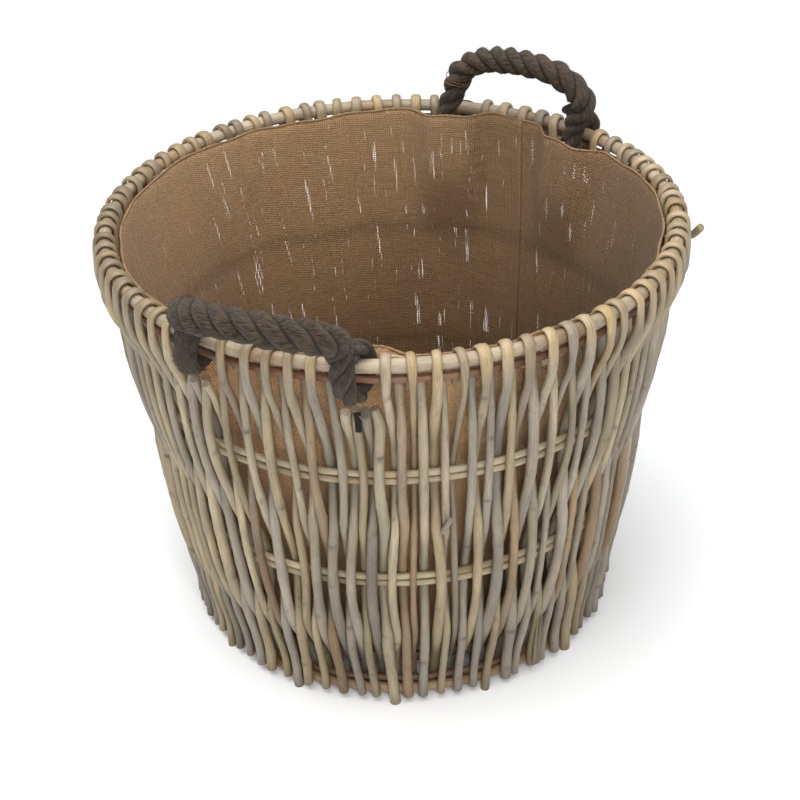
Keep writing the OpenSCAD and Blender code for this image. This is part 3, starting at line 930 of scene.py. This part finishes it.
def make_base():
    """Sticks across the base, and thin weavers that pass over one stick and under the next."""
    rng = np.random.default_rng(33)
    low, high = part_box("base_sticks")
    stick_half = (high.z - low.z) / 2
    span = high.y - low.y - 2 * stick_half
    pitch = span / (BASE_STICKS - 1)
    sticks = Pile()
    for i in range(BASE_STICKS):
        across = -span / 2 + i * pitch
        half = math.sqrt((FRAME_R - FRAME_ROD) ** 2 - (abs(across) + stick_half) ** 2)
        x = np.linspace(-half, half, 24)
        points = np.stack([x, across + 0.0008 * np.sin(x * 30 + i), np.full_like(x, FRAME_Z)], axis=1)
        add_rod(sticks, rng, points, stick_half * 0.96, (128, 96, 66))
    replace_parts(sticks.build("base_cross_sticks", WILLOW, "basket"), "base_sticks")
    low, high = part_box("base_weavers_top")
    weaver_half = (high.z - low.z) / 2
    width = high.x - low.x - 2 * weaver_half
    for parity, node in ((0, "base_weavers_top"), (1, "base_weavers_bottom")):
        weavers = Pile()
        for i in range(parity, BASE_WEAVERS, 2):
            across = -width / 2 + i * width / (BASE_WEAVERS - 1)
            half = math.sqrt(FRAME_R ** 2 - (abs(across) + weaver_half) ** 2)
            y = np.linspace(-half, half, 90)
            wave = np.cos(math.pi * y / pitch) * (-1 if parity else 1)
            points = np.stack([across + 0.0006 * np.sin(y * 50 + i), y,
                               FRAME_Z + (stick_half + weaver_half) * wave], axis=1)
            add_rod(weavers, rng, points, weaver_half * 0.95, (146, 124, 94), sides=8)
        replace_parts(weavers.build(node + "_woven", WILLOW, "basket"), node)


make_base()

# ---------------------------------------------------------------- liner

HEM_Z = CROWN_Z - 0.0095
LINER_FOOT_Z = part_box("liner_wall")[0].z
LINER_FOOT_R = (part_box("liner_base")[1].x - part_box("liner_base")[0].x) / 2 + 0.0019
LINER_TOP_R = RIM_R - 0.0112
LINER_DENT = 0.0200
SEAM_AZ = math.radians(-4)
SEAM_LEAN = math.radians(9)
SEAM_LAP = math.radians(1.5)
CLOTH_T = 0.0003
# Azimuth where the liner is painted lightest.
LIT_SIDE_AZ = math.radians(120)
LINER_COLUMNS = 520
LINER_ROWS = 60
SLANT = math.hypot(LINER_TOP_R - LINER_FOOT_R, HEM_Z - LINER_FOOT_Z)
CONE_SINE = (LINER_TOP_R - LINER_FOOT_R) / SLANT


def liner_points(az, level, inset):
    """Points of the liner at azimuth az, from its foot (level 0) to its hem (level 1)."""
    gap = np.abs(eye_gap(az))
    near = smooth_step((math.radians(11) - gap) / math.radians(7))
    hem_wave = 0.0016 * np.sin(5 * az + 0.4) + 0.0010 * np.sin(14 * az) + 0.0006 * np.sin(31 * az)
    hem_lift = 0.0032 * smooth_step(1.6 - np.abs(signed_gap(az, FAR_AZ)) / math.radians(22))
    z = LINER_FOOT_Z + level * (HEM_Z - LINER_FOOT_Z + hem_wave + hem_lift)
    r = LINER_FOOT_R + (LINER_TOP_R - LINER_FOOT_R) * level
    slack = 0.0006 * level * (1 + np.sin(9 * az + 0.5))
    slack = slack + 0.0007 * level ** 3 * (1 + np.sin(23 * az + 2 * np.sin(4 * az)))
    folds = 0.0022 * np.sin(math.pi * level) * (1 + np.sin(6 * az + 5 * level + 1.0))
    ripples = 0.0008 * np.sin(math.pi * level) * np.sin(17 * az - 9 * level + np.sin(5 * az))
    dent = LINER_DENT * near * smooth_step((z - CROWN_Z + 0.150) / 0.100)
    r = r - slack - folds - ripples - dent - inset
    return np.stack([r * np.cos(az), r * np.sin(az), z], axis=-1)


def cloth_coordinates(turn, level):
    """Where a point of the liner lay on the flat cloth, which fans out as it is bent to a cone."""
    apex = LINER_TOP_R / CONE_SINE - SLANT * (1 - level)
    fan = turn * CONE_SINE
    return np.stack([apex * np.sin(fan), apex * np.cos(fan), SLANT * level], axis=-1)


def make_liner():
    """The cloth wall, lapped at the seam; its outer face looks lighter because daylight comes through it."""
    turn = np.linspace(2 * math.pi, -SEAM_LAP, LINER_COLUMNS)
    turn, level = np.meshgrid(turn, np.linspace(0, 1, LINER_ROWS))
    az = SEAM_AZ - SEAM_LEAN * (1 - level) + turn
    lap = 0.0012 * (1 - smooth_step((turn + SEAM_LAP) / (2 * SEAM_LAP)))
    points = liner_points(az, level, lap + CLOTH_T)
    height = LINER_FOOT_Z + level * (HEM_Z - LINER_FOOT_Z)
    hoop_shade = 1 - 0.22 * sum(np.exp(-((height - z) / 0.007) ** 2) for z in (UPPER_Z, LOWER_Z))
    # Lighter round 120 degrees and darker on the opposite side: painted light and painted shade.
    lit_side = 0.92 + 0.33 * np.cos(az - LIT_SIDE_AZ)
    low_tone, high_tone = linear((158, 121, 82)), linear((168, 135, 100))
    tone = low_tone + (high_tone - low_tone) * level[..., None]
    # Darker towards the foot: painted shade deep inside the basket.
    tone = tone * ((0.27 + 0.63 * level) * hoop_shade * lit_side)[..., None]
    selvedge = 1 + 0.22 * smooth_step(1 - (turn + SEAM_LAP) / math.radians(0.8))
    selvedge = selvedge + 0.14 * smooth_step((level - 0.968) / 0.006)
    tint = np.concatenate([tone * selvedge[..., None], LINER_TOP_R * turn[..., None]], axis=-1)
    pile = Pile()
    pile.grid(points, cloth_coordinates(turn, level), tint)
    wall = pile.build("liner_cloth", HESSIAN, "basket")
    wall.data.materials.append(HESSIAN_LIT)
    thickness = wall.modifiers.new("thickness", "SOLIDIFY")
    thickness.thickness = CLOTH_T
    thickness.offset = -1
    thickness.material_offset = 1
    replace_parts(wall, "liner_wall")
    liner_hem()


def liner_hem():
    """The rolled hem and the threads that fray from it."""
    rng = np.random.default_rng(7)
    turn = np.linspace(0, 2 * math.pi, 900, endpoint=False)
    centre = liner_points(turn, np.ones_like(turn), 0.0002)
    out = np.stack([np.cos(turn), np.sin(turn), 0 * turn], axis=1)
    side, top = facing(tangents(centre, closed=True), out)
    phi = circle(8)
    size = (0.0011 + 0.0002 * np.sin(turn * 40) + 0.00018 * np.sin(turn * 211))[:, None]
    x, y = size * np.cos(phi), size * np.sin(phi)
    pile = Pile()
    grain = grain_of(x, y, turn * LINER_TOP_R)
    pile.tube(sweep(centre, side, top, x, y), grain, colour((186, 150, 108)), closed=True)
    for _ in range(1500):
        az = rng.uniform(0, 2 * math.pi)
        root = liner_points(np.array(az), np.array(1.0), 0.0002)
        way = UP * rng.uniform(-0.3, 1) + tangential(az) * rng.normal(0, 0.8)
        way = unit(way - radial(az) * rng.uniform(-0.9, 0.6))
        add_fibre(pile, hair_points(rng, root, way, rng.uniform(0.001, 0.0045)), 0.00014)
    return pile.build("liner_hem", JUTE, "basket")


def make_liner_floor():
    """The round floor of the liner, laid on the weavers and slightly uneven."""
    low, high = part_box("liner_base")
    edge_r = (high.x - low.x) / 2
    share = np.linspace(0.02, 1, 32)[:, None]
    turn = circle(120)[None, :]
    share, turn = np.broadcast_arrays(share, turn)
    x, y = edge_r * share * np.cos(turn), edge_r * share * np.sin(turn)
    z = high.z + 0.0012 * np.sin(x * 38 + 1) * np.sin(y * 31) * (1 - share ** 4)
    points = np.stack([x, y, z], axis=-1)
    pile = Pile()
    grain = np.stack([x, y, 0 * x], axis=-1)
    pile.grid(points, grain, colour((128, 100, 70)), wrap_columns=True)
    pile.cap(points[0][::-1], grain[0][::-1], np.broadcast_to(colour((128, 100, 70)), (120, 4)))
    piece = pile.build("liner_floor", HESSIAN, "basket")
    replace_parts(piece, "liner_base")


TAPE_DROP = 0.002


def make_binding_tail():
    """The hanging end of the black tape at the near handle, slightly twisted."""
    low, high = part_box("near_binding_tail")
    az = NEAR_EYES[0]
    middle = (low + high) / 2
    r = math.hypot(middle.x, middle.y)
    down = np.linspace(0, 1, 16)
    centre = np.stack([radial(az) * (r + 0.0006 * math.sin(3 * t))
                       + tangential(az) * 0.0010 * math.sin(2.4 * t)
                       + UP * (high.z - TAPE_DROP - t * (high.z - low.z - TAPE_DROP)) for t in down])
    side, top = facing(tangents(centre), np.broadcast_to(tangential(az), centre.shape))
    phi = circle(12)
    x = 0.0030 * np.cos(phi) * (1 - 0.15 * down)[:, None]
    y = np.broadcast_to(0.0006 * np.sin(phi), x.shape)
    pile = Pile()
    pile.tube(sweep(centre, side, top, x, y), grain_of(x, y, down * (high.z - low.z)), colour((38, 36, 33)))
    piece = pile.build("binding_tape_end", TAPE, "basket")
    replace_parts(piece, "near_binding_tail")


make_liner()
make_liner_floor()
make_binding_tail()

# ---------------------------------------------------------------- floor and light


def make_floor():
    mesh = bpy.data.meshes.new("floor")
    size = 12.0
    corners = [(-size, -size, 0), (size, -size, 0), (size, size, 0), (-size, size, 0)]
    mesh.from_pydata(corners, [], [(0, 1, 2, 3)])
    s = Shader("floor")
    s.put(Base_Color=(0.93, 0.94, 0.95, 1), Roughness=0.9, Specular_IOR_Level=0.0)
    mesh.materials.append(s.material)
    floor = bpy.data.objects.new("floor", mesh)
    bpy.context.scene.collection.objects.link(floor)


def area_light(name, place, size, power, tint=(1, 1, 1)):
    data = bpy.data.lights.new(name, "AREA")
    data.size = size
    data.energy = power
    data.color = tint
    light = bpy.data.objects.new(name, data)
    light.location = place
    aim = Vector((0, 0, 0.2)) - Vector(place)
    light.rotation_euler = aim.to_track_quat("-Z", "Y").to_euler()
    bpy.context.scene.collection.objects.link(light)


def make_light():
    world = bpy.data.worlds.new("studio")
    world.use_nodes = True
    background = world.node_tree.nodes["Background"]
    background.inputs["Color"].default_value = (0.94, 0.97, 1.0, 1)
    background.inputs["Strength"].default_value = 0.52
    bpy.context.scene.world = world
    area_light("overhead", (-0.3, 0.2, 2.6), 2.6, 84, (1.0, 0.985, 0.96))
    area_light("front", (-1.7, -1.2, 1.7), 0.8, 26, (1.0, 0.98, 0.95))
    bpy.context.scene.view_settings.view_transform = "Standard"
    bpy.context.scene.view_settings.look = "None"


make_floor()
make_light()
